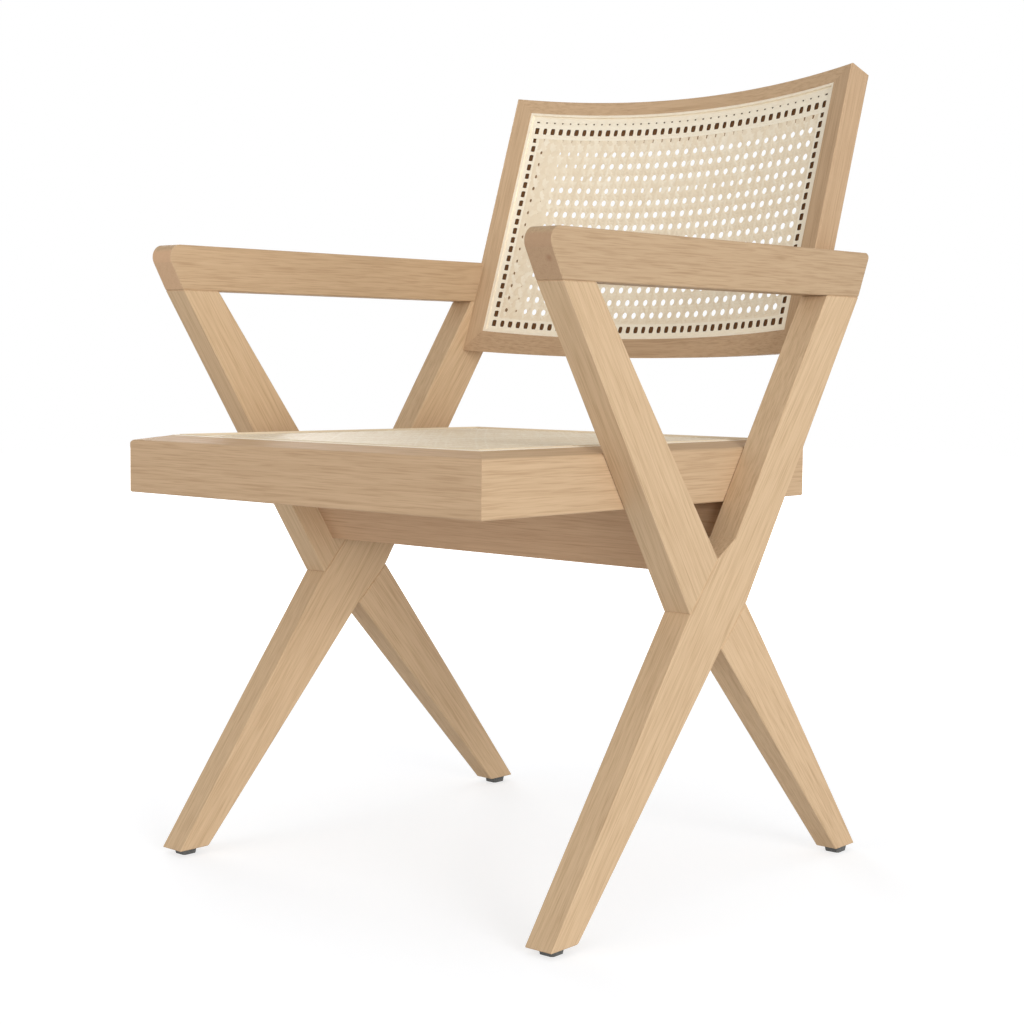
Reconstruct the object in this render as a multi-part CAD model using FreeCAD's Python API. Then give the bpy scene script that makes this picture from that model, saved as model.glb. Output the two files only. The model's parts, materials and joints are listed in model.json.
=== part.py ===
import FreeCAD, Part
import math
import os
from FreeCAD import Placement, Rotation, Vector

# Dining armchair: two crossed-leg side frames carry a caned seat and a curved caned back.
# Millimetres. The sitter faces -Y, +X is the sitter's left, +Z is up.
# Depths (y) are measured from near the crossing of the legs until the pieces are exported.

# Overall
leg_thick = 33.0          # thickness of every side frame member, across the chair
inner_half = 247.0        # half the clear width between the side frames at y = 0
frame_turn = 1.24         # degrees each side frame turns in towards the back
rake = 0.85               # degrees the seat and the arms fall towards the back
ease = 1.0                # bevel of the side frames' edges

# Side frame outline, as depth and height on the frame's own plane
glide_height = 7.0
front_foot = (-245.0, -206.0)
rear_foot = (247.5, 285.0)
front_notch = (-33.0, 297.0)
top_notch = (13.0, 348.0)
shoulder = (44.0, 366.5)
rear_notch = (63.0, 299.0)
low_notch = (19.5, 257.0)
post_top = (-229.5, -182.0)
leg_top = (208.5, 271.0)
rear_foot_thick = 26.0

# Arms
arm_base = 615.0          # height of the arm's underside at y = 0
arm_height = 48.0
arm_nose = -255.0         # depth of the arm's upper front corner before rounding
arm_tail = 294.0
nose_radius = 13.0
tail_radius = 5.0

# Stretchers, set parallel to the arm posts and to the long legs
stretcher_thick = 22.0
front_stretcher_foot = (-21.0, 336.0)
rear_stretcher_foot = (42.6, 346.4)

# Seat
seat_front = -303.0
seat_rear = 215.5
seat_base = 405.5         # height of the seat frame's underside at its front
seat_height = 60.0
rail_width = 46.0
rail_fall = 5.5           # the rail's top falls this much from the spline to its outer edge
rail_round = 3.0
spline_edge = 30.0        # from the rail's outer face to the spline
spline_width = 5.0
spline_depth = 6.0
cane_thick = 2.0
spline_crown = 0.8
rail_chamfer = 1.0
seat_play = 0.05          # clearance to the side frames
block_leg = 42.0
block_height = 30.0
block_lift = 4.0

# Back, on its own plane: x across, depth to the rear, rise along the slope
back_foot = (193.1, 552.3)
back_slope = 18.33        # degrees off upright
back_half = 245.5
back_rise = 330.5
back_hollow = 30.0        # depth of the curve over the back's width
back_depth = 35.0
stile_face = 23.0
top_rail_face = 18.0      # at the opening's corners
bottom_rail_face = 26.7
top_dish = 7.7            # the top rail's upper edge dips this much in the middle
bottom_arch = 1.0         # the bottom rail's lower edge rises this much in the middle
opening_dish = 6.1        # the opening's upper edge dips this much in the middle
opening_sag = 2.7         # and its lower edge this much
lip_width = 17.0          # ledge behind the cane
top_lip_width = 26.0      # and at the top rail
lip_step = 5.0
cane_step = 3.0           # cane lies this far behind the frame's face
back_spline_width = 3.2
back_ease = 1.2

# Caning: square gaps in each panel, wider apart than the weave's own
seat_gap_pitch = 26.0
back_gap_pitch = 23.0
gap_share = 0.52          # gap size over pitch
caned_edge = 7.0          # closed border inside the frame

# Loose tenons, glued half into each piece: length, width, thickness
seam_tenon = (50.0, 15.0, 10.0)
seam_tenon_shares = (0.27, 0.73)   # of the seam's length
arm_tenon = (30.0, 24.0, 10.0)
arm_tenon_depths = (-203.0, 234.0)
stretcher_tenon = (50.0, 32.0, 10.0)
seat_tenon = (36.0, 26.0, 10.0)
back_tenon = (14.0, 22.0, 8.0)
back_tenon_rises = (44.0, 90.0)
seat_corner_tenon = (36.0, 32.0, 8.0)
seat_corner_share = 0.45  # of the rail's height
back_corner_tenon = (26.0, 16.0, 6.0)
back_corner_share = 0.35  # of the mitre behind the cane

# Feet
glide_top = 19.0
glide_foot = 17.0
glide_corner = 2.0
spigot_radius = 3.0
spigot_length = 14.0

turn_slope = math.tan(math.radians(frame_turn))
rake_slope = math.tan(math.radians(rake))
back_radius = (back_half ** 2 + back_hollow ** 2) / (2 * back_hollow)
far = 900.0               # longer than anything on the chair
mitre_over = 0.4          # how far a mitre cut runs past the wood, over the mitre's length


def along(start, end, share):
    return tuple(a + (b - a) * share for a, b in zip(start, end))


def unit(start, end):
    length = math.dist(start, end)
    return tuple((b - a) / length for a, b in zip(start, end))


def at_height(point, direction, height):
    steps = (height - point[1]) / direction[1]
    return point[0] + direction[0] * steps


def arm_under(depth):
    return arm_base - depth * rake_slope


def inner_face(depth):
    return inner_half - depth * turn_slope


def seat_under(depth):
    return seat_base - (depth - seat_front) * rake_slope


def prism(points, vector):
    return Part.Face(Part.makePolygon(points + points[:1])).extrude(vector)


def side_slab(outline):
    return prism([Vector(0, y, z) for y, z in outline], Vector(leg_thick, 0, 0))


def plan_prism(outline):
    return prism([Vector(x, y, 0) for x, y in outline], Vector(0, 0, far))


def eased(shape, size):
    return shape.makeChamfer(size, shape.Edges)


def tenon(middle, run, across, size):
    # block centred on a joint, its length along run and its width along across
    length, width, thick = size
    block = Part.makeBox(length, width, thick, Vector(-length / 2, -width / 2, -thick / 2))
    block.Placement = Placement(middle, Rotation(run, across, run.cross(across), "XYZ"))
    return block


def stand_left(shape):
    placed = shape.copy()
    placed.rotate(Vector(0, 0, 0), Vector(0, 0, 1), frame_turn)
    placed.translate(Vector(inner_half, 0, 0))
    return placed


def mirrored(shape):
    return shape.mirror(Vector(0, 0, 0), Vector(1, 0, 0))


def both_sides(shapes):
    return shapes + [mirrored(shape) for shape in shapes]


def without(shape, tools):
    return shape.cut(Part.makeCompound(tools))


# Side frames

def seam_tenons(start, end):
    # two tenons square to the seam where a leg half meets the long leg
    run = unit(start, end)
    seam = Vector(0, *run)
    square = Vector(0, -run[1], run[0])
    places = [along(start, end, share) for share in seam_tenon_shares]
    return [tenon(Vector(leg_thick / 2, y, z), square, seam, seam_tenon) for y, z in places]


def arm_tenons():
    up, fore = Vector(0, 0, 1), Vector(0, 1, 0)
    middles = [Vector(leg_thick / 2, depth, arm_under(depth)) for depth in arm_tenon_depths]
    return [tenon(middle, up, fore, arm_tenon) for middle in middles]


def long_leg():
    outline = [(front_foot[0], glide_height), front_notch, top_notch, shoulder]
    outline += [(depth, arm_under(depth)) for depth in leg_top]
    outline += [rear_notch, low_notch, (front_foot[1], glide_height)]
    return eased(side_slab(outline), ease)


def arm_post():
    ends = [(depth, arm_under(depth)) for depth in post_top]
    return eased(side_slab([front_notch] + ends + [top_notch]), ease)


def rear_leg():
    # the rear leg also thins across the chair towards its foot
    outline = [low_notch, rear_notch, (rear_foot[1], glide_height), (rear_foot[0], glide_height)]
    thin = (leg_thick - rear_foot_thick) / 2
    front_view = [(0, rear_notch[1]), (0, low_notch[1]), (thin, glide_height)]
    front_view += [(leg_thick - x, z) for x, z in front_view[::-1]]
    wedge = prism([Vector(x, -far / 2, z) for x, z in front_view], Vector(0, far, 0))
    return eased(side_slab(outline).common(wedge), ease)


def armrest():
    foot_line = [(post_top[0], arm_under(post_top[0])), (leg_top[1], arm_under(leg_top[1]))]
    top_line = [(depth, arm_under(depth) + arm_height) for depth in (arm_tail, arm_nose)]
    slab = side_slab(foot_line + top_line)
    for depth, radius in ((arm_nose, nose_radius), (arm_tail, tail_radius)):
        corner = Vector(leg_thick / 2, depth, arm_under(depth) + arm_height)
        edges = [edge for edge in slab.Edges if edge.distToShape(Part.Vertex(corner))[0] < ease]
        slab = slab.makeFillet(radius, edges)
    return eased(slab, ease)


# Cross rails between the side frames

def between_frames():
    front, rear = -far / 2, far / 2
    outline = [(-inner_face(front), front), (inner_face(front), front)]
    outline += [(inner_face(rear), rear), (-inner_face(rear), rear)]
    return plan_prism(outline)


def stretcher(foot, run):
    # a board whose faces lie along run, from its foot up to the seat frame
    square = (run[1], -run[0])
    lower = [foot, along(foot, (foot[0] + square[0], foot[1] + square[1]), stretcher_thick)]
    upper = []
    for depth, height in lower:
        steps = (seat_under(depth) - height) / (run[1] + run[0] * rake_slope)
        upper.append((depth + run[0] * steps, height + run[1] * steps))
    outline = [lower[0], upper[0], upper[1], lower[1]]
    board = prism([Vector(-far / 2, y, z) for y, z in outline], Vector(far, 0, 0))
    return board.common(between_frames()), outline


def stretcher_end(outline, run):
    # tenon at the left end, in the middle of the board
    foot = along(outline[0], outline[3], 0.5)
    head = along(outline[1], outline[2], 0.5)
    depth, height = along(foot, head, 0.5)
    middle = Vector(inner_face(depth), depth, height)
    return tenon(middle, Vector(1, 0, 0), Vector(0, *run), stretcher_tenon)


# Seat

def seat_corner(inset, front):
    # corner of the seat's plan on the left, moved in by inset on both faces
    depth = seat_front + inset if front else seat_rear - inset
    return inner_face(depth) - seat_play - inset / math.cos(math.radians(frame_turn)), depth


def mitre_sector(side):
    # plan area of one rail, bounded by the mitres at its ends
    corners = {}
    for front in (True, False):
        x, y = seat_corner(0, front)
        inner = seat_corner(rail_width, front)
        corners[front] = (along((x, y), inner, -mitre_over), along((x, y), inner, 1 + mitre_over))
    if side == "left":
        outline = [corners[True][0], corners[False][0], corners[False][1], corners[True][1]]
    else:
        out, inward = corners[side == "front"]
        outline = [out, inward, (-inward[0], inward[1]), (-out[0], out[1])]
    return plan_prism(outline)


def seat_strip(side, section):
    # section drawn as inset from the outer face and height, run along one side of the seat
    if side == "left":
        face = section.copy()
        face.rotate(Vector(0, 0, 0), Vector(0, 0, 1), 180)
        face.translate(Vector(0, -far / 2, 0))
        bar = face.extrude(Vector(0, far, 0))
        bar.rotate(Vector(0, 0, 0), Vector(0, 0, 1), frame_turn)
        bar.translate(Vector(inner_half - seat_play, 0, 0))
    else:
        face = section.copy()
        face.rotate(Vector(0, 0, 0), Vector(0, 0, 1), 90 if side == "front" else -90)
        face.translate(Vector(-far / 2, seat_front if side == "front" else seat_rear, 0))
        bar = face.extrude(Vector(far, 0, 0))
    return bar.common(mitre_sector(side))


def rail_section():
    top = seat_base + seat_height
    groove = spline_edge + spline_width
    eave = top - rail_fall
    brow = eave + rail_fall * rail_round / spline_edge
    rise = [Vector(0, 0, eave - rail_round), Vector(rail_round, 0, brow)]
    cheek = rail_round * (1 - math.sqrt(0.5))
    bulge = Vector(cheek, 0, eave - cheek)
    corners = [rise[1], Vector(spline_edge, 0, top), Vector(spline_edge, 0, top - spline_depth)]
    corners += [Vector(groove, 0, top - spline_depth), Vector(groove, 0, top - cane_thick)]
    corners += [Vector(rail_width, 0, top - cane_thick), Vector(rail_width, 0, seat_base)]
    corners += [Vector(rail_chamfer, 0, seat_base), Vector(0, 0, seat_base + rail_chamfer), rise[0]]
    edges = [Part.Arc(rise[0], bulge, rise[1]).toShape()]
    edges += [Part.makeLine(a, b) for a, b in zip(corners, corners[1:])]
    return Part.Face(Part.Wire(edges))


def spline_section():
    top = seat_base + seat_height
    left = Vector(spline_edge, 0, top)
    right = Vector(spline_edge + spline_width, 0, top)
    crown = Vector(spline_edge + spline_width / 2, 0, top + spline_crown)
    drop = Vector(0, 0, -spline_depth)
    edges = [Part.Arc(left, crown, right).toShape()]
    path = [right, right + drop, left + drop, left]
    edges += [Part.makeLine(a, b) for a, b in zip(path, path[1:])]
    return Part.Face(Part.Wire(edges))


def gap_grid(half_width, low, high, pitch):
    # middles of the gaps, centred on the panel
    columns = int(2 * half_width / pitch)
    rows = int((high - low) / pitch)
    first = (-(columns - 1) / 2, (low + high) / 2 - (rows - 1) * pitch / 2)
    grid = [(i, j) for j in range(rows) for i in range(columns)]
    return [((first[0] + i) * pitch, first[1] + j * pitch) for i, j in grid]


def square_wire(x, y, z, side):
    signs = ((-1, -1), (1, -1), (1, 1), (-1, 1))
    corners = [Vector(x + a * side / 2, y + b * side / 2, z) for a, b in signs]
    return Part.makePolygon(corners + corners[:1])


def seat_cane():
    level = seat_base + seat_height - cane_thick
    front = seat_corner(spline_edge + spline_width, True)
    rear = seat_corner(spline_edge + spline_width, False)
    outline = [front, rear, (-rear[0], rear[1]), (-front[0], front[1])]
    edge = Part.makePolygon([Vector(x, y, level) for x, y in outline + outline[:1]])
    inset = rail_width + caned_edge
    open_front = seat_corner(inset, True)
    open_rear = seat_corner(inset, False)
    places = gap_grid(open_rear[0], open_front[1], open_rear[1], seat_gap_pitch)
    gaps = [square_wire(x, y, level, seat_gap_pitch * gap_share) for x, y in places]
    net = Part.makeFace([edge] + gaps, "Part::FaceMakerBullseye")
    return net.extrude(Vector(0, 0, cane_thick))


def corner_block(front):
    inner = seat_corner(rail_width, front)
    toward = 1 if front else -1
    along_side = (inner[0] - toward * block_leg * turn_slope, inner[1] + toward * block_leg)
    outline = [inner, along_side, (inner[0] - block_leg, inner[1])]
    foot = seat_base + block_lift
    return prism([Vector(x, y, foot) for x, y in outline], Vector(0, 0, block_height))


def seat_corner_key(front):
    corner = seat_corner(0, front)
    inner = seat_corner(rail_width, front)
    middle = along(corner, inner, 0.5)
    run = unit(corner, inner)
    square = Vector(-run[1], run[0], 0)
    height = seat_base + seat_height * seat_corner_share
    return tenon(Vector(*middle, height), square, Vector(0, 0, 1), seat_corner_tenon)


def raked(shape):
    turned = shape.copy()
    turned.rotate(Vector(0, seat_front, seat_base), Vector(1, 0, 0), -rake)
    return turned


def seat_tenons():
    # one into the arm post and one into the long leg, in the middle of each
    height = seat_under(0) + seat_height / 2
    post = ((front_notch, post_top[0]), (top_notch, post_top[1]))
    leg = ((shoulder, leg_top[0]), (rear_notch, leg_top[1]))
    edges = [at_height(foot, unit(foot, (head, arm_under(head))), height) for foot, head in post + leg]
    depths = [(edges[0] + edges[1]) / 2, (edges[2] + edges[3]) / 2]
    middles = [Vector(inner_face(depth), depth, height) for depth in depths]
    return [tenon(middle, Vector(1, 0, 0), Vector(0, 0, 1), seat_tenon) for middle in middles]


# Back

def lean(shape):
    # from the back's own plane to its place on the chair
    leaned = shape.copy()
    turn = Rotation(Vector(1, 0, 0), -back_slope)
    leaned.Placement = Placement(Vector(0, *back_foot), turn) * shape.Placement
    return leaned


def curve_depth(x, step):
    return back_hollow - back_radius + math.sqrt((back_radius + step) ** 2 - x ** 2)


def plan_line(step, rise):
    # the back's face in plan, a step further to the rear
    ends = [Vector(x, curve_depth(x, step), rise) for x in (-back_half, back_half)]
    return Part.Arc(ends[0], Vector(0, back_hollow + step, rise), ends[1]).toShape()


def band(inner_step, outer_step):
    # layer of the back between two steps behind its face
    edges = [plan_line(inner_step, 0), plan_line(outer_step, 0)]
    for x in (-back_half, back_half):
        depths = [curve_depth(x, step) for step in (inner_step, outer_step)]
        edges.append(Part.makeLine(*[Vector(x, depth, 0) for depth in depths]))
    outline = Part.Wire(Part.__sortEdges__(edges))
    return Part.Face(outline).extrude(Vector(0, 0, back_rise))


def undercut(front_edge):
    # what lies below the back's level underside, which runs back from its lower front edge
    slope = math.radians(back_slope)
    level = Vector(0, far * math.cos(slope), far * math.sin(slope))
    return front_edge.translated(level * -0.5).extrude(level).extrude(Vector(0, 0, -far))


def rise_prism(outline):
    return prism([Vector(x, -far / 2, z) for x, z in outline], Vector(0, far, 0))


def back_corner(top, inset):
    # left corner of the back: outside, or inside of its face, of the spline or of the ledge
    face, ledge = (top_rail_face, top_lip_width) if top else (bottom_rail_face, lip_width)
    steps = {"outer": (0, 0), "face": (stile_face, face), "lip": (stile_face + lip_width, face + ledge)}
    steps["spline"] = (stile_face + back_spline_width, face + back_spline_width)
    across, up = steps[inset]
    return back_half - across, back_rise - up if top else up


def mirrored_outline(points):
    return points + [(-x, z) for x, z in points[::-1]]


def rail_area(top):
    # the mitre runs from the outer corner past both inner corners
    mitre = [back_corner(top, inset) for inset in ("outer", "face", "lip")]
    past = [along(mitre[0], mitre[1], -mitre_over), along(mitre[2], mitre[1], -mitre_over)]
    return rise_prism(mirrored_outline(past[:1] + mitre + past[1:]))


def stile_area():
    low = [back_corner(False, inset) for inset in ("outer", "face", "lip")]
    high = [back_corner(True, inset) for inset in ("outer", "face", "lip")]
    past_low = along(low[0], low[1], -mitre_over)
    past_high = along(high[0], high[1], -mitre_over)
    return rise_prism([past_low] + low + high[::-1] + [past_high])


def elevation_prism(head, foot):
    # between two lines in elevation, each a left end, a middle and a right end
    arcs = [Part.Arc(*[Vector(x, -far / 2, z) for x, z in line]).toShape() for line in (head, foot)]
    sides = []
    for end in (0, 2):
        sides.append(Part.makeLine(*[Vector(line[end][0], -far / 2, line[end][1]) for line in (head, foot)]))
    outline = Part.Wire(Part.__sortEdges__(arcs + sides))
    return Part.Face(outline).extrude(Vector(0, far, 0))


def opening_size(inset):
    half, low = back_corner(False, inset)
    return half, low, back_corner(True, inset)[1]


def opening(inset):
    # through the frame, with the bows of its upper and lower edge
    half, low, high = opening_size(inset)
    head = [(-half, high), (0, high - opening_dish), (half, high)]
    foot = [(-half, low), (0, low - opening_sag), (half, low)]
    return elevation_prism(head, foot)


def back_frame():
    # both rails and both stiles before their mitres
    rims = [[(-back_half, rim), (0, rim + bow), (back_half, rim)]
            for rim, bow in ((back_rise, -top_dish), (0, bottom_arch))]
    frame = band(0, back_depth).common(elevation_prism(*rims))
    long = [edge for edge in frame.Edges if edge.BoundBox.XLength > back_half]
    high = [edge for edge in long if edge.BoundBox.ZMax > back_rise / 2]
    front = [edge for edge in long if edge not in high and edge.BoundBox.YMin < back_depth / 2]
    return frame.makeChamfer(back_ease, high).cut(undercut(front[0]))


def back_rail(top):
    # the frame's face is cut back where the cane lies
    rail = back_frame().common(rail_area(top))
    return without(rail, [opening("lip"), band(0, lip_step).common(opening("face"))])


def stile_blank():
    return band(0, back_depth).cut(undercut(plan_line(0, 0)))


def back_stile():
    post = stile_blank()
    upright = [edge for edge in post.Edges if edge.BoundBox.ZLength > back_half]
    rim = [edge for edge in upright if edge.BoundBox.XMin > back_half - stile_face]
    post = post.makeChamfer(back_ease, rim).common(stile_area())
    return without(post, [opening("lip"), band(0, lip_step).common(opening("face"))])


def back_cane():
    sheet = band(cane_step, lip_step).common(opening("spline"))
    half, low, high = opening_size("lip")
    places = gap_grid(half - caned_edge, low + caned_edge, high - caned_edge, back_gap_pitch)
    side = back_gap_pitch * gap_share
    gaps = [Part.makeBox(side, far / 4, side, Vector(x - side / 2, 0, z - side / 2)) for x, z in places]
    return without(sheet, gaps)


def back_spline():
    # one strip all round that closes the joint between the cane and the frame
    return band(spline_crown, lip_step).common(opening("face")).cut(opening("spline"))


def back_corner_keys():
    keys = []
    for top in (True, False):
        face, lip = back_corner(top, "face"), back_corner(top, "lip")
        x, z = along(face, lip, back_corner_share)
        run = unit(face, lip)
        depth = curve_depth(x, back_depth / 2)
        square = Vector(-run[1], 0, run[0])
        keys.append(tenon(Vector(x, depth, z), square, Vector(0, 1, 0), back_corner_tenon))
    return keys


def back_tenons():
    # one from each stile into the long leg, one into the arm
    side_depth = back_depth / 2
    middles = [Vector(back_half, side_depth, rise) for rise in back_tenon_rises]
    return [lean(tenon(middle, Vector(1, 0, 0), Vector(0, 0, 1), back_tenon)) for middle in middles]


# Feet

def foot_middles():
    middles = {"front": sum(front_foot) / 2, "rear": sum(rear_foot) / 2}
    return {place: Vector(leg_thick / 2, depth, 0) for place, depth in middles.items()}


def glide_outline(middle, side, height):
    half, corner = side / 2, side / 2 - glide_corner
    quarter = [(half, -corner), (half, corner)]
    points = []
    for _ in range(4):
        points += [Vector(middle.x + x, middle.y + y, height) for x, y in quarter]
        quarter = [(-y, x) for x, y in quarter]
    return Part.makePolygon(points + points[:1])


def glide(middle):
    # square pad with a spigot that goes up into the foot
    outlines = [glide_outline(middle, glide_foot, 0), glide_outline(middle, glide_top, glide_height)]
    pad = Part.makeLoft(outlines, True, True)
    return pad.fuse(spigot(middle)).removeSplitter()


def spigot(middle):
    return Part.makeCylinder(spigot_radius, spigot_length, middle + Vector(0, 0, glide_height))


def export_centred(pieces):
    # the origin is on the floor under the middle of the chair's overall depth
    bounds = Part.makeCompound(list(pieces.values())).optimalBoundingBox()
    middle = bounds.Center.y
    print("middle of the depth", round(middle, 3), "overall", bounds)
    os.makedirs("parts", exist_ok=True)
    for name, shape in pieces.items():
        placed = shape.copy()
        placed.translate(Vector(0, -middle, 0))
        placed.exportStep(f"parts/{name}.step")
        print(name, len(placed.Solids), "solids", round(placed.Volume), "mm3", placed.isValid())


def main():
    pieces = {}

    def add(name, shapes):
        pieces[name] = shapes[0] if len(shapes) == 1 else Part.makeCompound(shapes)

    seam_keys = seam_tenons(front_notch, top_notch) + seam_tenons(low_notch, rear_notch)
    seam_keys = [stand_left(key) for key in seam_keys]
    arm_keys = [stand_left(key) for key in arm_tenons()]
    seat_keys = seat_tenons()
    back_keys = back_tenons()

    post_run = unit(front_notch, (post_top[0], arm_under(post_top[0])))
    leg_run = unit(shoulder, (leg_top[0], arm_under(leg_top[0])))
    front_board, front_section = stretcher(front_stretcher_foot, post_run)
    rear_board, rear_section = stretcher(rear_stretcher_foot, leg_run)
    front_key = stretcher_end(front_section, post_run)
    rear_key = stretcher_end(rear_section, leg_run)

    middles = foot_middles()
    sockets = [stand_left(spigot(middle)) for middle in middles.values()]
    frame_tools = seam_keys + arm_keys + seat_keys + back_keys + [front_key, rear_key] + sockets
    housing = lean(stile_blank())
    left = {"long_leg": long_leg(), "arm_post": arm_post(), "rear_leg": rear_leg(), "armrest": armrest()}
    for name, shape in left.items():
        shape = without(stand_left(shape), frame_tools)
        if name in ("long_leg", "armrest"):
            # the back's stile is let a little way into the leg and the arm
            shape = shape.cut(housing)
        add(f"left_{name}", [shape])
        add(f"right_{name}", [mirrored(shape)])
    add("front_stretcher", [without(front_board, both_sides([front_key]))])
    add("rear_stretcher", [without(rear_board, both_sides([rear_key]))])
    add("crossing_tenons", both_sides(seam_keys))
    add("arm_tenons", both_sides(arm_keys))
    add("stretcher_tenons", both_sides([front_key, rear_key]))
    add("seat_tenons", both_sides(seat_keys))
    add("back_tenons", both_sides(back_keys))

    corner_keys = [raked(seat_corner_key(front)) for front in (True, False)]
    rail_tools = both_sides(corner_keys + seat_keys)
    for side in ("front", "rear", "left"):
        rail = without(raked(seat_strip(side, rail_section())), rail_tools)
        add(f"seat_{side}_rail", [rail])
        if side == "left":
            add("seat_right_rail", [mirrored(rail)])
    strips = [raked(seat_strip(side, spline_section())) for side in ("front", "rear", "left")]
    add("seat_spline", strips + [mirrored(strips[2])])
    add("seat_cane", [raked(seat_cane())])
    for place, front in (("front", True), ("rear", False)):
        block = raked(corner_block(front))
        add(f"{place}_left_corner_block", [block])
        add(f"{place}_right_corner_block", [mirrored(block)])
    add("seat_corner_tenons", both_sides(corner_keys))

    mitre_keys = both_sides(back_corner_keys())
    add("back_top_rail", [lean(without(back_rail(True), mitre_keys))])
    add("back_bottom_rail", [lean(without(back_rail(False), mitre_keys))])
    stile = without(lean(without(back_stile(), mitre_keys)), back_keys)
    add("back_left_stile", [stile])
    add("back_right_stile", [mirrored(stile)])
    add("back_cane", [lean(back_cane())])
    add("back_spline", [lean(back_spline())])
    add("back_corner_tenons", [lean(key) for key in mitre_keys])

    for place, middle in middles.items():
        pad = stand_left(glide(middle))
        add(f"{place}_left_glide", [pad])
        add(f"{place}_right_glide", [mirrored(pad)])
    export_centred(pieces)


main()
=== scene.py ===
import json
import math
import random
import bpy
from mathutils import Euler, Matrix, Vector


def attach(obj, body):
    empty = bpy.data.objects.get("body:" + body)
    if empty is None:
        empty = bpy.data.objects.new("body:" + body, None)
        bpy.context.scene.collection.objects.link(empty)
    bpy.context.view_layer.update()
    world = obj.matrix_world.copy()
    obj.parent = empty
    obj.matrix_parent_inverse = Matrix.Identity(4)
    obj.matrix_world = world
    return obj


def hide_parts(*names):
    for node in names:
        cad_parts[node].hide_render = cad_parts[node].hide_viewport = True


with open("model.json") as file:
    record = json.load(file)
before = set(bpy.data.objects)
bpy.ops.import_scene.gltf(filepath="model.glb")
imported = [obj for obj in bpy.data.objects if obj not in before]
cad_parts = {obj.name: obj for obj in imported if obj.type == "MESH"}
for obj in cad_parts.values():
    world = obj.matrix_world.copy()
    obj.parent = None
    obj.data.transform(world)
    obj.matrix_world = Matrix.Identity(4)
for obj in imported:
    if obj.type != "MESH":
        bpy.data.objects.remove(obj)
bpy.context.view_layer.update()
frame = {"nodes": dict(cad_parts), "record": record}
nodes = frame["nodes"]
print("frame loaded,", len(nodes), "nodes")

# camera, fitted to the photograph's corners
shot = {
    "place": (1.44217, -1.59665, 0.56606),   # metres
    "tilt": 84.994,                          # degrees from straight down
    "turn": 42.274,                          # degrees about the vertical
    "lens": 69.51,                           # mm
    "sensor": 36.0,                          # mm
}


def setCamera():
    data = bpy.data.cameras.new("shot")
    data.lens = shot["lens"]
    data.sensor_width = shot["sensor"]
    camera = bpy.data.objects.new("shot", data)
    camera.location = shot["place"]
    camera.rotation_euler = (math.radians(shot["tilt"]), 0.0, math.radians(shot["turn"]))
    bpy.context.collection.objects.link(camera)
    bpy.context.scene.camera = camera


# white sweep, a soft key from the sitter's left, weak lights in front, above and behind
studio = {
    "floorSize": 14.0,
    "floorColour": (0.78, 0.80, 0.83),
    "floorGlow": 1.76,            # seen by the camera and in gloss only, brings the floor to white
    "glowShare": 0.36,            # of the floor near the chair, the rest of it keeps the shadow
    "whiteFrom": (1.0, 2.2),      # metres from the chair over which the floor turns pure white
    "ambient": 0.50,              # the white surroundings, as they light the chair
    "backdrop": 1.0,              # and as the camera sees them
    "aim": (0.0, 0.0, 0.45),
    "lamps": {                    # place, size in metres and power in watts
        "key": ((6.0, -2.0, 1.4), 3.2, 255.0),
        "fill": ((-0.9, -3.4, 0.5), 2.4, 26.0),
        "top": ((0.0, 0.0, 3.6), 2.4, 11.0),
        "rear": ((-4.2, 2.2, 1.6), 2.4, 70.0),
    },
}


def nodeTree(owner):
    owner.use_nodes = True
    tree = owner.node_tree
    tree.nodes.clear()
    return tree


def addNode(tree, kind, **values):
    node = tree.nodes.new(kind)
    for key, value in values.items():
        setattr(node, key, value)
    return node


def setInputs(node, values):
    # fixed values by the socket's name, or by its number where names repeat
    for socket, value in values.items():
        node.inputs[socket].default_value = value


def seenByCamera(tree):
    # 1 where the ray comes from the camera, a mirror or glass
    path = addNode(tree, "ShaderNodeLightPath")
    first = addNode(tree, "ShaderNodeMath", operation="MAXIMUM")
    second = addNode(tree, "ShaderNodeMath", operation="MAXIMUM")
    tree.links.new(path.outputs["Is Camera Ray"], first.inputs[0])
    tree.links.new(path.outputs["Is Glossy Ray"], first.inputs[1])
    tree.links.new(first.outputs[0], second.inputs[0])
    tree.links.new(path.outputs["Is Transmission Ray"], second.inputs[1])
    return second.outputs[0]


def mapRange(tree, source, low, high, toLow, toHigh):
    node = addNode(tree, "ShaderNodeMapRange", interpolation_type="SMOOTHSTEP")
    setInputs(node, {"From Min": low, "From Max": high, "To Min": toLow, "To Max": toHigh})
    tree.links.new(source, node.inputs["Value"])
    return node.outputs["Result"]


def times(tree, first, second):
    node = addNode(tree, "ShaderNodeMath", operation="MULTIPLY")
    tree.links.new(first, node.inputs[0])
    tree.links.new(second, node.inputs[1])
    return node.outputs[0]


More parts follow.
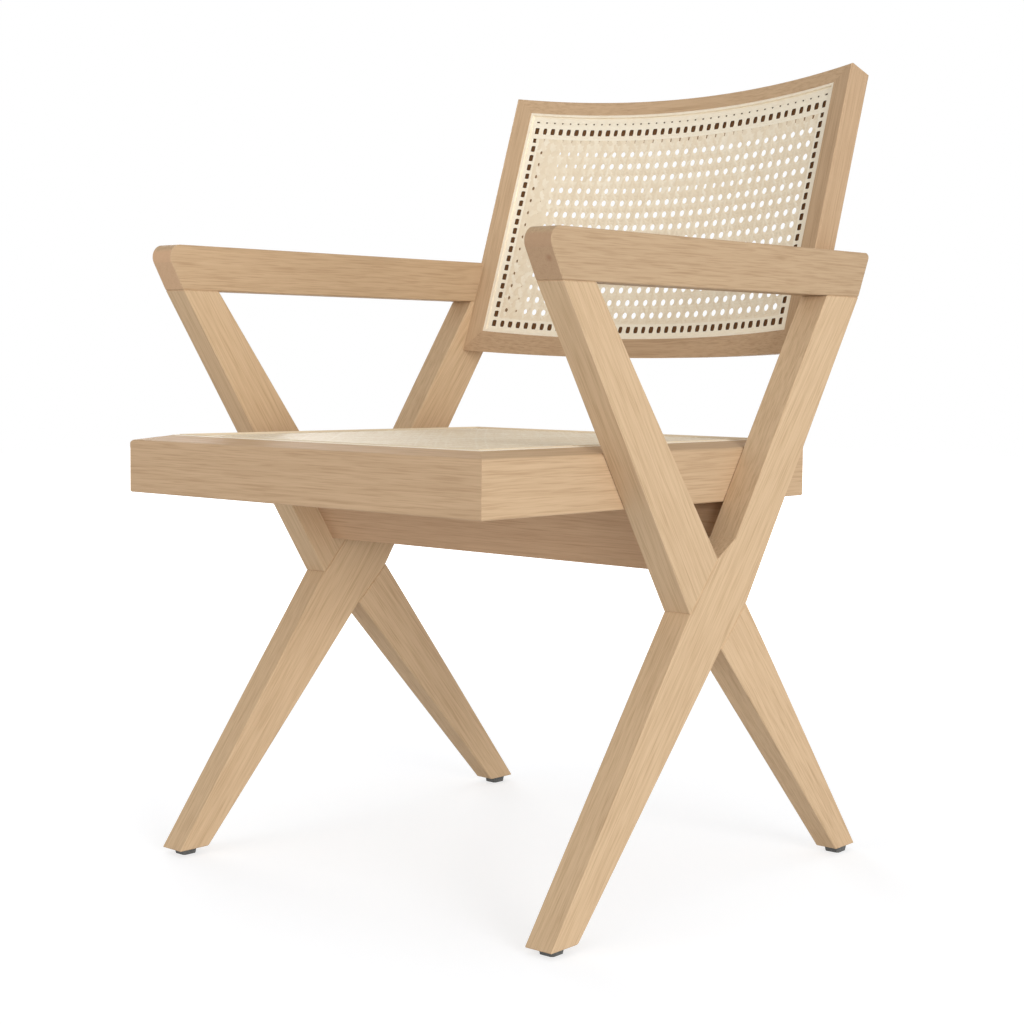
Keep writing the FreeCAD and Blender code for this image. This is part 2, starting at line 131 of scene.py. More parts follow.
def makeFloor():
    half = studio["floorSize"] / 2
    corners = [(-half, -half, 0), (half, -half, 0), (half, half, 0), (-half, half, 0)]
    mesh = bpy.data.meshes.new("floor")
    mesh.from_pydata(corners, [], [(0, 1, 2, 3)])
    floor = bpy.data.objects.new("floor", mesh)
    bpy.context.collection.objects.link(floor)
    material = bpy.data.materials.new("paleSweep")
    tree = nodeTree(material)
    diffuse = addNode(tree, "ShaderNodeBsdfDiffuse")
    setInputs(diffuse, {"Color": (*studio["floorColour"], 1)})
    away = addNode(tree, "ShaderNodeVectorMath", operation="LENGTH")
    tree.links.new(addNode(tree, "ShaderNodeTexCoord").outputs["Object"], away.inputs[0])
    share = mapRange(tree, away.outputs["Value"], *studio["whiteFrom"], studio["glowShare"], 1.0)
    glow = addNode(tree, "ShaderNodeEmission")
    setInputs(glow, {"Strength": studio["floorGlow"]})
    both = addNode(tree, "ShaderNodeMixShader")
    out = addNode(tree, "ShaderNodeOutputMaterial")
    tree.links.new(times(tree, seenByCamera(tree), share), both.inputs[0])
    tree.links.new(diffuse.outputs[0], both.inputs[1])
    tree.links.new(glow.outputs[0], both.inputs[2])
    tree.links.new(both.outputs[0], out.inputs["Surface"])
    mesh.materials.append(material)


def softLamp(name, place, size, power):
    data = bpy.data.lights.new(name, "AREA")
    data.shape = "DISK"
    data.size = size
    data.energy = power
    lamp = bpy.data.objects.new(name, data)
    lamp.location = place
    lamp.rotation_euler = (Vector(studio["aim"]) - Vector(place)).to_track_quat("-Z", "Y").to_euler()
    bpy.context.collection.objects.link(lamp)


def lightStudio():
    world = bpy.data.worlds.new("studio")
    bpy.context.scene.world = world
    tree = nodeTree(world)
    out = addNode(tree, "ShaderNodeOutputWorld")
    mix = addNode(tree, "ShaderNodeMixShader")
    tree.links.new(seenByCamera(tree), mix.inputs[0])
    for socket, name in ((1, "ambient"), (2, "backdrop")):
        white = addNode(tree, "ShaderNodeBackground")
        setInputs(white, {"Color": (1, 1, 1, 1), "Strength": studio[name]})
        tree.links.new(white.outputs[0], mix.inputs[socket])
    tree.links.new(mix.outputs[0], out.inputs["Surface"])
    for name, (place, size, power) in studio["lamps"].items():
        softLamp(name, place, size, power)
    bpy.context.scene.view_settings.view_transform = "Standard"


setCamera()
makeFloor()
lightStudio()
print("studio ready")

depthShift = 0.026478                        # metres, from the depths as drawn to the frame's middle

# the back's own plane, as in the CAD model
backPlane = {
    "foot": (0.1931 - depthShift, 0.5523),   # depth and height of its lower front edge
    "slope": 18.33,                          # degrees from upright
    "half": 0.2455, "hollow": 0.030,         # the curve over the back's width
    "openHalf": 0.2225, "low": 0.0267, "high": 0.3125,
    "dish": 0.0061, "sag": 0.0027,           # dips of the opening's upper and lower edge in the middle
    "ledge": 0.005,                          # behind the frame's face
    "ledgeReach": 0.0018,                    # depth before and behind the ledge that takes its painted shade
    "edgeReach": 0.0002,                     # and the same past the opening's edges
    "sheet": 0.0034,                         # middle of the strands, behind the frame's face
    "spline": 0.0032,                        # width of the spline round the cane
}
backRadius = (backPlane["half"] ** 2 + backPlane["hollow"] ** 2) / (2 * backPlane["hollow"])
backEuler = Euler((math.radians(-backPlane["slope"]), 0, 0))
backTurn = backEuler.to_matrix()
backMiddle = backTurn @ Vector((0, backPlane["hollow"] - backRadius, 0)) + Vector((0, *backPlane["foot"]))


def onBack(u, v, lift):
    # u along the curve from the middle, v up the slope, lift off the sheet towards the sitter
    radius = backRadius + backPlane["sheet"]
    angle = u / radius
    near = radius - lift
    x = near * math.sin(angle)
    share = (v - backPlane["low"]) / (backPlane["high"] - backPlane["low"])
    dip = backPlane["sag"] + (backPlane["dish"] - backPlane["sag"]) * share
    rise = v - dip * (1 - (x / backPlane["openHalf"]) ** 2)
    return backTurn @ Vector((x, near * math.cos(angle), rise)) + backMiddle


# pale oiled hardwood, one material for each piece and its run of the grain
wood = {
    "light": (0.620, 0.438, 0.273),
    "mid": (0.562, 0.389, 0.235),
    "dark": (0.430, 0.280, 0.159),
    "end": (0.546, 0.345, 0.212),            # where the grain is cut across
    "endFrom": (0.75, 0.95),                 # cosine to the grain where that colour begins and is full
    "endShare": 0.75,
    "paintedLightEnds": {"right_armrest": 1.28},     # cut ends painted lighter than the others, painted light for the little lamp light falling on them
    "ledge": (0.165, 0.078, 0.033),          # painted shade on the ledge behind the back's cane, for the shadow seen through the border slots
    "knot": (0.330, 0.165, 0.095),
    "knotShare": 0.60,
    "knotSize": 0.0052,
    "knots": {"left_armrest": (0.2768, -0.2658, 0.6376)},    # a small one in the end of this arm
    "spread": (0.985, 1.015),                # tone from piece to piece
    "blueFall": 1.2,                         # parts of blue that warmer wood loses for each of green
    "seed": 11,
    "scatter": 3.0,                          # metres, the most that a piece's figure is moved by
    "roughness": (0.60, 0.46),               # in dark and in light streaks
    "sheen": 0.03,
    "bump": 0.10,
    "bumpDepth": 0.0004,
}

# the figure, repeats per metre along and across the grain, its noise,
# where it turns from dark to light, and the share of it in the colour
woodFigure = {
    "bands": {
        "size": (1.6, 60.0), "detail": 2.0, "rough": 0.55, "twist": 0.6,
        "stops": (0.30, 0.70),
    },
    "rings": {
        "size": (0.5, 62.0), "detail": 2.0, "detailSize": 0.7, "twist": 5.0,
        "stops": (0.05, 0.60), "share": 0.22,
    },
    "streaks": {
        "size": (8.0, 360.0), "detail": 3.0, "rough": 0.6, "twist": 0.5,
        "stops": (0.36, 0.58), "share": 0.46,
    },
    "pores": {
        "size": (20.0, 760.0), "detail": 2.0, "rough": 0.5, "twist": 0.2,
        "stops": (0.32, 0.52), "share": 0.42,
    },
}


def ramp(tree, stops, source):
    node = addNode(tree, "ShaderNodeValToRGB")
    elements = node.color_ramp.elements
    while len(elements) < len(stops):
        elements.new(0.5)
    for element, (place, colour) in zip(elements, stops):
        element.position = place
        element.color = (*colour, 1)
    tree.links.new(source, node.inputs["Fac"])
    return node.outputs["Color"]


def alongGrain(tree, place, turn, offset, size):
    # coordinates turned into the grain and drawn out along it
    mapping = addNode(tree, "ShaderNodeMapping", vector_type="TEXTURE")
    along, across = size
    scale = (1 / along, 1 / across, 1 / across)
    setInputs(mapping, {"Location": offset, "Rotation": turn, "Scale": scale})
    tree.links.new(place, mapping.inputs["Vector"])
    return mapping.outputs[0]


def grainNoise(tree, drawn, layer):
    noise = addNode(tree, "ShaderNodeTexNoise")
    setInputs(noise, {
        "Scale": 1.0, "Detail": layer["detail"], "Roughness": layer["rough"], "Distortion": layer["twist"],
    })
    tree.links.new(drawn, noise.inputs["Vector"])
    return noise.outputs["Fac"]


def ringLines(tree, drawn, layer):
    # growth rings cut at a slant
    wave = addNode(tree, "ShaderNodeTexWave", bands_direction="DIAGONAL")
    setInputs(wave, {
        "Scale": 1.0, "Detail": layer["detail"], "Detail Scale": layer["detailSize"],
        "Distortion": layer["twist"],
    })
    tree.links.new(drawn, wave.inputs["Vector"])
    return wave.outputs["Fac"]


def mixColour(tree, amount, first, second):
    mix = addNode(tree, "ShaderNodeMix", data_type="RGBA")
    setInputs(mix, {"Factor": amount})
    tree.links.new(first, mix.inputs["A"])
    tree.links.new(second, mix.inputs["B"])
    return mix.outputs["Result"]


def within(tree, source, middle, reach):
    node = addNode(tree, "ShaderNodeMath", operation="COMPARE")
    setInputs(node, {1: middle, 2: reach})
    tree.links.new(source, node.inputs[0])
    return node.outputs[0]


def ledgeShadeMask(tree, place):
    # 1 on the ledge inside the back's opening, where its painted shade goes, measured from the curve's
    # axis
    mapping = addNode(tree, "ShaderNodeMapping", vector_type="TEXTURE")
    setInputs(mapping, {"Location": backMiddle, "Rotation": backEuler})
    tree.links.new(place, mapping.inputs["Vector"])
    flat = addNode(tree, "ShaderNodeVectorMath", operation="MULTIPLY")
    setInputs(flat, {1: (1, 1, 0)})
    tree.links.new(mapping.outputs[0], flat.inputs[0])
    radius = addNode(tree, "ShaderNodeVectorMath", operation="LENGTH")
    tree.links.new(flat.outputs[0], radius.inputs[0])
    parts = addNode(tree, "ShaderNodeSeparateXYZ")
    tree.links.new(mapping.outputs[0], parts.inputs[0])
    low, high = backPlane["low"] - backPlane["sag"], backPlane["high"]
    past = backPlane["edgeReach"]
    deep = within(tree, radius.outputs["Value"], backRadius + backPlane["ledge"], backPlane["ledgeReach"])
    across = within(tree, parts.outputs["X"], 0.0, backPlane["openHalf"] + past)
    rise = within(tree, parts.outputs["Z"], (low + high) / 2, (high - low) / 2 + past)
    return times(tree, times(tree, deep, across), rise)


def cutAcross(tree, grain):
    # 0 along the grain, up to the share of the cut ends where the surface faces along it
    facing = addNode(tree, "ShaderNodeVectorMath", operation="DOT_PRODUCT")
    setInputs(facing, {1: Vector(grain).normalized()})
    tree.links.new(addNode(tree, "ShaderNodeNewGeometry").outputs["Normal"], facing.inputs[0])
    size = addNode(tree, "ShaderNodeMath", operation="ABSOLUTE")
    tree.links.new(facing.outputs["Value"], size.inputs[0])
    return mapRange(tree, size.outputs[0], *wood["endFrom"], 0.0, wood["endShare"])


def stainAndPaintedLight(tree, colour, amount, finish):
    # another colour where amount is above 0: the real end grain and knot, and painted light and shade
    mix = addNode(tree, "ShaderNodeMix", data_type="RGBA")
    tree.links.new(amount, mix.inputs["Factor"])
    tree.links.new(colour, mix.inputs["A"])
    mix.inputs["B"].default_value = (*finish, 1)
    return mix.outputs["Result"]


def nearKnot(tree, place, middle):
    # highest in the knot's middle, 0 outside it
    away = addNode(tree, "ShaderNodeVectorMath", operation="DISTANCE")
    tree.links.new(place, away.inputs[0])
    setInputs(away, {1: middle})
    return mapRange(tree, away.outputs["Value"], 0.0, wood["knotSize"], wood["knotShare"], 0.0)


def coat(tree, colour, height, finish):
    # the shader with its sheen and a bump from height
    shader = addNode(tree, "ShaderNodeBsdfPrincipled")
    setInputs(shader, {"Specular IOR Level": finish["sheen"]})
    tree.links.new(colour, shader.inputs["Base Color"])
    bump = addNode(tree, "ShaderNodeBump")
    setInputs(bump, {"Strength": finish["bump"], "Distance": finish["bumpDepth"]})
    tree.links.new(height, bump.inputs["Height"])
    tree.links.new(bump.outputs["Normal"], shader.inputs["Normal"])
    out = addNode(tree, "ShaderNodeOutputMaterial")
    tree.links.new(shader.outputs[0], out.inputs["Surface"])
    return shader


def makeWood(node, grain, toneAndPaintedLight, warmthAndPaintedLight, seed, ledgeShaded):
    material = bpy.data.materials.new("oiledWood." + node)
    tree = nodeTree(material)
    place = addNode(tree, "ShaderNodeTexCoord").outputs["Object"]
    turn = Vector(grain).to_track_quat("X", "Z").to_euler()
    rng = random.Random(seed)
    offset = tuple(rng.uniform(-wood["scatter"], wood["scatter"]) for _ in range(3))
    # the piece's tone, with its painted light and shade
    tone = toneAndPaintedLight * rng.uniform(*wood["spread"])
    figure = {}
    for name, layer in woodFigure.items():
        drawn = alongGrain(tree, place, turn, offset, layer["size"])
        draw = ringLines if name == "rings" else grainNoise
        figure[name] = draw(tree, drawn, layer)
    # warmth, partly the tint of painted light and shade
    warm = (1.0, 1 - warmthAndPaintedLight, 1 - wood["blueFall"] * warmthAndPaintedLight)
    tint = {}
    for name in ("light", "mid", "dark", "end"):
        tint[name] = tuple(c * tone * w for c, w in zip(wood[name], warm))
    low, high = woodFigure["bands"]["stops"]
    colour = ramp(tree, ((low, tint["mid"]), (high, tint["light"])), figure["bands"])
    for name in ("rings", "streaks", "pores"):
        low, high = woodFigure[name]["stops"]
        lines = ramp(tree, ((low, tint["dark"]), (high, tint["light"])), figure[name])
        colour = mixColour(tree, woodFigure[name]["share"], colour, lines)
    # painted light on the far arm's cut end
    end = tuple(c * wood["paintedLightEnds"].get(node, 1.0) for c in tint["end"])
    colour = stainAndPaintedLight(tree, colour, cutAcross(tree, grain), end)
    if node in wood["knots"]:
        colour = stainAndPaintedLight(tree, colour, nearKnot(tree, place, wood["knots"][node]), wood["knot"])
    # painted shade on the back's ledge, standing in for the shadow behind the cane
    if ledgeShaded:
        colour = stainAndPaintedLight(tree, colour, ledgeShadeMask(tree, place), wood["ledge"])
    shader = coat(tree, colour, figure["pores"], wood)
    rough = mapRange(tree, figure["streaks"], 0.0, 1.0, *wood["roughness"])
    tree.links.new(rough, shader.inputs["Roughness"])
    return material


def dress(node, material):
    mesh = nodes[node].data
    mesh.materials.clear()
    mesh.materials.append(material)


# direction of the grain in each wooden piece, then its tone and warmth, partly the wood's own and partly
# painted light and shade: the legs lighter and cooler where lit, the stretchers and the back's bottom rail
# darker and warmer in the shade under the seat, the far arm lighter than the near one
longRun = (0.0, 0.47, 0.60)
postRun = (0.0, -0.20, 0.32)
rearRun = (0.0, 0.225, -0.27)
slopeRun = (0.0, 0.311, 0.950)
armRun = (0.0, 1.0, -0.015)
acrossRun = (1.0, 0.0, 0.0)
leftRun = (-0.0216, 1.0, -0.015)
rightRun = (0.0216, 1.0, -0.015)
tenonRun = (0.0, 1.0, 0.0)
grainOf = {
    "long_leg": (longRun, 1.08, -0.02),
    "arm_post": (postRun, 1.035, -0.02),
    "rear_leg": (rearRun, 1.085, -0.015),
    "left_armrest": (armRun, 0.855, 0.0),
    "right_armrest": (armRun, 0.93, 0.0),
    "front_stretcher": (acrossRun, 0.96, 0.07),
    "rear_stretcher": (acrossRun, 0.98, 0.03),
    "seat_front_rail": (acrossRun, 0.97, 0.02),
    "seat_rear_rail": (acrossRun, 0.98, 0.01),
    "seat_left_rail": (leftRun, 0.965, 0.0),
    "seat_right_rail": (rightRun, 0.97, 0.0),
    "back_top_rail": (acrossRun, 0.98, 0.01),
    "back_bottom_rail": (acrossRun, 0.90, 0.03),
    "back_left_stile": (slopeRun, 0.93, 0.02),
    "back_right_stile": (slopeRun, 0.98, 0.01),
    "corner_block": (acrossRun, 1.0, 0.0),
    "tenons": (tenonRun, 1.0, 0.0),
}


def dressWood():
    slots = {row["node"]: row["material_slot"] for row in frame["record"]["subparts"]}
    for order, node in enumerate(sorted(nodes)):
        if slots[node] in ("frame_wood", "tenon_wood"):
            grain, toneAndPaintedLight, warmthAndPaintedLight = next(grainOf[key] for key in grainOf if node.endswith(key))
            # the back frame's pieces take the ledge's painted shade
            ledgeShaded = node.startswith("back_") and slots[node] == "frame_wood"
            dress(node, makeWood(node, grain, toneAndPaintedLight, warmthAndPaintedLight, wood["seed"] + order, ledgeShaded))


dressWood()
print("wood dressed")

# dark moulded feet
glidePlastic = {
    "colour": (0.075, 0.075, 0.070),
    "worn": (0.12, 0.12, 0.115),
    "stops": (0.40, 0.65),           # of the flecks, from the colour to the worn one
    "fleck": 420.0,                  # flecks per metre
    "detail": 3.0,
    "roughness": 0.55,
    "sheen": 0.5,
    "bump": 0.15,
    "bumpDepth": 0.0003,
}


def flecks(tree, finish):
    noise = addNode(tree, "ShaderNodeTexNoise")
    setInputs(noise, {"Scale": finish["fleck"], "Detail": finish["detail"]})
    tree.links.new(addNode(tree, "ShaderNodeTexCoord").outputs["Object"], noise.inputs["Vector"])
    return noise.outputs["Fac"]


def makePlastic():
    material = bpy.data.materials.new("mouldedPlastic")
    tree = nodeTree(material)
    noise = flecks(tree, glidePlastic)
    low, high = glidePlastic["stops"]
    colour = ramp(tree, ((low, glidePlastic["colour"]), (high, glidePlastic["worn"])), noise)
    shader = coat(tree, colour, noise, glidePlastic)
    setInputs(shader, {"Roughness": glidePlastic["roughness"]})
    return material


plastic = makePlastic()
for corner in ("front_left", "front_right", "rear_left", "rear_right"):
    dress(corner + "_glide", plastic)
print("glides dressed")

# natural cane: every strand has its own tone, 0 straw to 1 cream
cane = {
    "straw": (0.790, 0.655, 0.470),
    "pale": (0.870, 0.755, 0.580),
    "cream": (0.930, 0.840, 0.680),
    "stops": ((0.15, "straw"), (0.60, "pale"), (0.80, "cream")),
    "splineStops": ((0.05, "pale"), (0.20, "cream")),
    "fleck": 160.0,                  # flecks per metre
    "detail": 3.0,
    "fleckShare": 0.30,              # of the flecks in the tone
    "roughness": 0.42,
    "sheen": 0.03,
    "bump": 0.2,
    "bumpDepth": 0.0003,
    "crease": 40.0,                  # degrees, sharper edges of a strand aren't smoothed
}


def makeCane(name, stops):
    material = bpy.data.materials.new(name)
    tree = nodeTree(material)
    tone = addNode(tree, "ShaderNodeAttribute", attribute_name="strandTone")
    noise = flecks(tree, cane)
    blend = addNode(tree, "ShaderNodeMix", data_type="FLOAT")
    setInputs(blend, {"Factor": cane["fleckShare"]})
    tree.links.new(tone.outputs["Fac"], blend.inputs["A"])
    tree.links.new(noise, blend.inputs["B"])
    colour = ramp(tree, [(place, cane[key]) for place, key in stops], blend.outputs["Result"])
    shader = coat(tree, colour, noise, cane)
    setInputs(shader, {"Roughness": cane["roughness"]})
    return material


caneMaterial = makeCane("naturalCane", cane["stops"])
splineMaterial = makeCane("caneSpline", cane["splineStops"])
for node in ("seat_spline", "back_spline"):
    dress(node, splineMaterial)
print("splines dressed")


def swelling(spots, u, v):
    total = 0.0
    for midU, midV, reachU, reachV, amount in spots:
        total += amount * math.exp(-((u - midU) / reachU) ** 2 - ((v - midV) / reachV) ** 2)
    return total


class StrandMesh:
    # collects flat strands with a raised middle into one mesh
    def __init__(self, place, seed):
        self.place = place
        self.rng = random.Random(seed)
        self.points, self.faces, self.tones = [], [], []

    def add(self, path, width, thick, tone, swell=()):
        # path holds u, v and lift of the strand's middle, swell the places where strands lie wider
        if len(path) < 2:
            return
        first = len(self.points)
        for i, (u, v, lift) in enumerate(path):
            before, after = path[max(i - 1, 0)], path[min(i + 1, len(path) - 1)]
            runU, runV = after[0] - before[0], after[1] - before[1]
            size = math.hypot(runU, runV)
            here = width * (1 + swelling(swell, u, v))
            sideU, sideV = -runV / size * here / 2, runU / size * here / 2
            self.points.append(self.place(u - sideU, v - sideV, lift - thick / 2))
            self.points.append(self.place(u, v, lift + thick / 2))
            self.points.append(self.place(u + sideU, v + sideV, lift - thick / 2))
            self.tones += [tone] * 3
        for i in range(len(path) - 1):
            low, high = first + 3 * i, first + 3 * i + 3
            for j in range(3):
                k = (j + 1) % 3
                self.faces.append((high + j, high + k, low + k, low + j))
        last = first + 3 * (len(path) - 1)
        self.faces.append((first, first + 1, first + 2))
        self.faces.append((last + 2, last + 1, last))

    def build(self, name, material):
        mesh = bpy.data.meshes.new(name)
        mesh.from_pydata([tuple(p) for p in self.points], [], self.faces)
        tones = mesh.attributes.new("strandTone", "FLOAT", "POINT")
        tones.data.foreach_set("value", self.tones)
        mesh.materials.append(material)
        mesh.shade_smooth()
        mesh.set_sharp_from_angle(angle=math.radians(cane["crease"]))
        piece = bpy.data.objects.new(name, mesh)
        bpy.context.collection.objects.link(piece)
        return piece


def steps(low, high, first, pitch):
    # marks every pitch from first, between low and high, with both ends
    hair = 1e-6                      # no mark on an end itself
    start = math.ceil((low - first) / pitch + hair)
    stop = math.floor((high - first) / pitch - hair)
    return [(low, None)] + [(first + k * pitch, k) for k in range(start, stop + 1)] + [(high, None)]


def straightRun(start, end, lift, span):
    # points about a span apart
    count = max(2, round(math.dist(start, end) / span))
    path = []
    for k in range(count + 1):
        share = k / count
        u = start[0] + (end[0] - start[0]) * share
        v = start[1] + (end[1] - start[1]) * share
        path.append((u, v, lift))
    return path


def weaveField(strands, area, weave):
    # pairs both ways with a diagonal each way through the middles of their runs
    (lowU, highU), (lowV, highV) = area
    pitchU, pitchV = weave["pitch"]
    firstU, firstV = weave["first"]
    upright, level, slant = weave["widths"]
    thick, rise, swell = weave["thick"], weave["lift"], weave["swell"]
    for column in range(math.ceil((lowU - firstU) / pitchU), math.floor((highU - firstU) / pitchU) + 1):
        for side in (-1, 1):
            u = firstU + column * pitchU + side * upright / 2
            path = []
            for v, k in steps(lowV, highV, firstV, pitchV / 2):
                path.append((u, v, side * rise if k is not None and k % 2 == 0 else 0.0))
            strands.add(path, upright, thick, strands.rng.uniform(*weave["tones"]), swell)
    for row in range(math.ceil((lowV - firstV) / pitchV), math.floor((highV - firstV) / pitchV) + 1):
        for side in (-1, 1):
            v = firstV + row * pitchV + side * level / 2
            path = [(u, v, 0.0) for u, _ in steps(lowU, highU, firstU, pitchU / 2)]
            strands.add(path, level, thick, strands.rng.uniform(*weave["tones"]), swell)
    columns = math.ceil((highU - lowU) / pitchU) + 1
    rows = math.ceil((highV - lowV) / pitchV) + 1
    lowColumn = math.floor((lowU - firstU) / pitchU)
    lowRow = math.floor((lowV - firstV) / pitchV)
    for lean in (1, -1):
        for start in range(-rows - 1, columns + rows + 2):
            path = []
            for step in range(2 * rows + 3):
                u = firstU + (lowColumn + start + 0.5 + lean * step / 2) * pitchU
                v = firstV + (lowRow + step / 2) * pitchV
                if lowU <= u <= highU and lowV <= v <= highV:
                    path.append((u, v, lean * rise * (1 if step % 2 else -1)))
            strands.add(path, slant, thick, strands.rng.uniform(*weave["tones"]), swell)


def evenMarks(low, high, pitch):
    count = max(1, round((high - low) / pitch))
    return [low + (high - low) * (k + 0.5) / count for k in range(count)]


def weaveBorder(strands, edge, border):
    # a ladder of cream strands round the field, its rungs run out to the edge
    (edgeLowU, edgeHighU), (edgeLowV, edgeHighV) = edge
    (lowU, highU), (lowV, highV) = border["ring"]
    rail, thick = border["rail"], border["thick"]
    pitchU, pitchV = border["pitch"]
    reach, stray = border["reach"], border["stray"]
    marks = evenMarks(lowU, highU, pitchU)
    rungs = []                       # start and end of each, and the slots' middle on it
    for mark in marks:
        u = mark + strands.rng.uniform(-stray, stray)
        rungs.append(((u, edgeLowV), (u, lowV + reach), (u, lowV)))
        rungs.append(((u, edgeHighV), (u, highV - reach), (u, highV)))
    for mark in evenMarks(lowV, highV, pitchV):
        v = mark + strands.rng.uniform(-stray, stray)
        rungs.append(((edgeLowU, v), (lowU + reach, v), (lowU, v)))
        rungs.append(((edgeHighU, v), (highU - reach, v), (highU, v)))
    for start, end, middle in rungs:
        upright = 1 if start[0] == end[0] else 0
        rung, slotHalf = border["rung"][upright], border["rails"][upright] - rail / 2
        along = (Vector(end) - Vector(start)).normalized()
        across = Vector((-along.y, along.x))
        many = border["knots"]
        knots = [Vector(middle) + along * slotHalf * k / many for k in range(-many, many + 1)]
        broad, rounded = border["broad"], border["round"]
        reaches = (broad, rounded) if upright else (rounded, broad)
        corners = [(*knots[k], *reaches, border["swell"]) for k in (0, -1)]      # wider beside the rails
        for side in (-1, 1):
            shift = across * side * rung / 2
            path = [(*(knot + shift), 0.0) for knot in (Vector(start), *knots, Vector(end))]
            strands.add(path, rung, thick, strands.rng.uniform(*border["tones"]), corners)

    def runLine(start, end):
        path = straightRun(start, end, border["lift"], border["span"])
        strands.add(path, rail, thick, strands.rng.uniform(*border["tones"]))

    for away in (border["rails"][0], -border["rails"][0]):
        runLine((lowU - away, edgeLowV), (lowU - away, edgeHighV))
        runLine((highU + away, edgeLowV), (highU + away, edgeHighV))
    for away in (border["rails"][1], -border["rails"][1]):
        runLine((edgeLowU, lowV - away), (edgeHighU, lowV - away))
        runLine((edgeLowU, highV + away), (edgeHighU, highV + away))
    for away in border["sideLines"]:
        runLine((edgeLowU + away, edgeLowV), (edgeLowU + away, edgeHighV))
        runLine((edgeHighU - away, edgeLowV), (edgeHighU - away, edgeHighV))
    for v in border["levelLines"]:
        runLine((edgeLowU, v), (edgeHighU, v))
    for u in marks:
        path = [(u, border["padFrom"], 0.0), (u, edgeHighV, 0.0)]
        strands.add(path, border["pad"], thick, strands.rng.uniform(*border["padTones"]))


# metres along the curve from the middle, and up the slope
backWeave = {
    "seed": 7,
    "pitch": (0.013267, 0.0158), "first": (0.20563, 0.2860),
    "widths": (0.0037, 0.0042, 0.0037),              # upright, level and slanting strands
    "thick": 0.00045, "lift": 0.0003, "tones": (0.25, 0.85),
    "swell": (                       # where the weave lies closer: middle, reach both ways and amount
        (-0.188, 0.140, 0.0135, 0.125, 1.85),
        (-0.110, 0.2775, 0.150, 0.0075, 1.60),
        (0.130, 0.2775, 0.090, 0.0075, 1.60),
        (-0.155, 0.262, 0.045, 0.008, 0.80),
        (-0.160, 0.246, 0.040, 0.008, 0.90),
        (-0.130, 0.230, 0.055, 0.007, 0.70),
        (-0.020, 0.215, 0.070, 0.007, 0.70),
        (0.060, 0.215, 0.050, 0.007, 0.50),
        (-0.186, 0.250, 0.009, 0.035, 0.60),
    ),
}
backBorder = {
    "ring": ((-0.2126, 0.2126), (0.0390, 0.2900)),   # middle of the slots
    "rails": (0.0042, 0.0055),       # beside the slots of the sides, and of the top and bottom
    "rail": 0.0030, "reach": 0.0060,
    "rung": (0.0020, 0.0028),        # of the sides, and of the top and bottom
    "stray": 0.0005,                 # of a rung from its mark, so the slots are uneven
    "knots": 3,                      # points of a rung each way from the slots' middle
    "round": 0.0014, "swell": 0.6,   # rungs widen beside the rails, which rounds the slots
    "broad": 0.1,                    # far over a rung's width, so it widens evenly
    "pitch": (0.0114, 0.0119), "span": 0.012, "thick": 0.0004, "lift": 0.0003,
    "tones": (0.85, 1.0),
    "sideLines": (0.0012, 0.0030),   # more strands along the sides, from the edge
    "levelLines": (0.0308, 0.2815, 0.2978, 0.2990, 0.3038, 0.3060, 0.3080),
    "pad": 0.0094, "padFrom": 0.2995, "padTones": (0.7, 1.0),        # behind the lines above the top slots
}


def makeBackCane():
    half = backRadius * math.asin(backPlane["openHalf"] / backRadius) - backPlane["spline"]
    edge = (-half, half), (backPlane["low"] + backPlane["spline"], backPlane["high"] - backPlane["spline"])
    (lowU, highU), (lowV, highV) = backBorder["ring"]
    sideRail, levelRail = backBorder["rails"]
    field = (lowU + sideRail, highU - sideRail), (lowV + levelRail, highV - levelRail)
    strands = StrandMesh(onBack, backWeave["seed"])
    weaveField(strands, field, backWeave)
    weaveBorder(strands, edge, backBorder)
    piece = strands.build("backWeave", caneMaterial)
    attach(piece, "root")
    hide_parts("back_cane")


makeBackCane()
print("back caned")

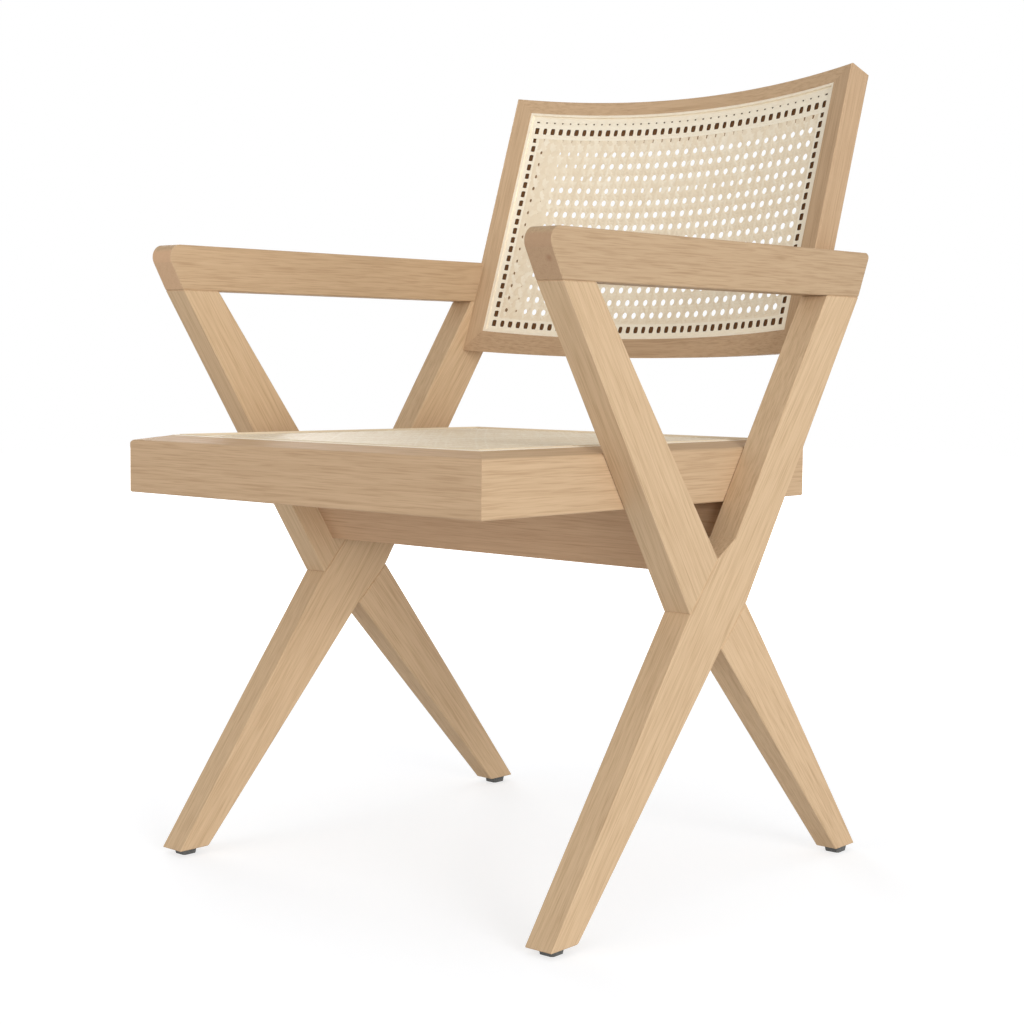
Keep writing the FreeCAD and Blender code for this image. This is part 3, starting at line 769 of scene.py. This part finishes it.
# the seat's own plane, as in the CAD model
seatPlane = {
    "front": -0.303 - depthShift, "base": 0.4055, "height": 0.060,
    "rake": 0.85,                            # degrees
    "opening": (0.035, 0.4835),              # front and rear edge inside the spline, from the seat's front
    "halves": (0.2178, 0.2081),              # half its width at the front and at the rear
    "sink": 0.0010,                          # middle of the strands below the rails' inner edge
}
seatWeave = {
    "seed": 19,
    "pitch": (0.0136, 0.0145), "first": (0.0068, 0.0),
    "widths": (0.0037, 0.0042, 0.0037),
    "thick": 0.00045, "lift": 0.0003, "tones": (0.25, 1.0), "swell": (),
}
# a raised strand round the seat's cane, in the darkest straw tone as painted shade for the shadow line
# between spline and cane
seatEdge = {"inset": 0.0016, "width": 0.0042, "thick": 0.0028, "lift": 0.0010, "span": 0.020, "tone": 0.0}


def onSeat(u, v, lift):
    # v is the depth from the seat's front, u is measured in the middle of the depth
    front, rear = seatPlane["opening"]
    wide, narrow = seatPlane["halves"]
    share = (v - front) / (rear - front)
    x = u * (wide + (narrow - wide) * share) * 2 / (wide + narrow)
    level = seatPlane["height"] - seatPlane["sink"] + lift
    tilt = math.radians(seatPlane["rake"])
    y = seatPlane["front"] + v * math.cos(tilt) + level * math.sin(tilt)
    z = seatPlane["base"] - v * math.sin(tilt) + level * math.cos(tilt)
    return Vector((x, y, z))


def makeSeatCane():
    strands = StrandMesh(onSeat, seatWeave["seed"])
    half = sum(seatPlane["halves"]) / 2
    front, rear = seatPlane["opening"]
    weaveField(strands, ((-half, half), (front, rear)), seatWeave)
    side, low, high = half - seatEdge["inset"], front + seatEdge["inset"], rear - seatEdge["inset"]
    corners = [(-side, low), (side, low), (side, high), (-side, high)]
    for start, end in zip(corners, corners[1:] + corners[:1]):
        path = straightRun(start, end, seatEdge["lift"], seatEdge["span"])
        # its dark tone is painted shade
        strands.add(path, seatEdge["width"], seatEdge["thick"], seatEdge["tone"])
    piece = strands.build("seatWeave", caneMaterial)
    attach(piece, "root")
    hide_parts("seat_cane")


makeSeatCane()
print("seat caned")
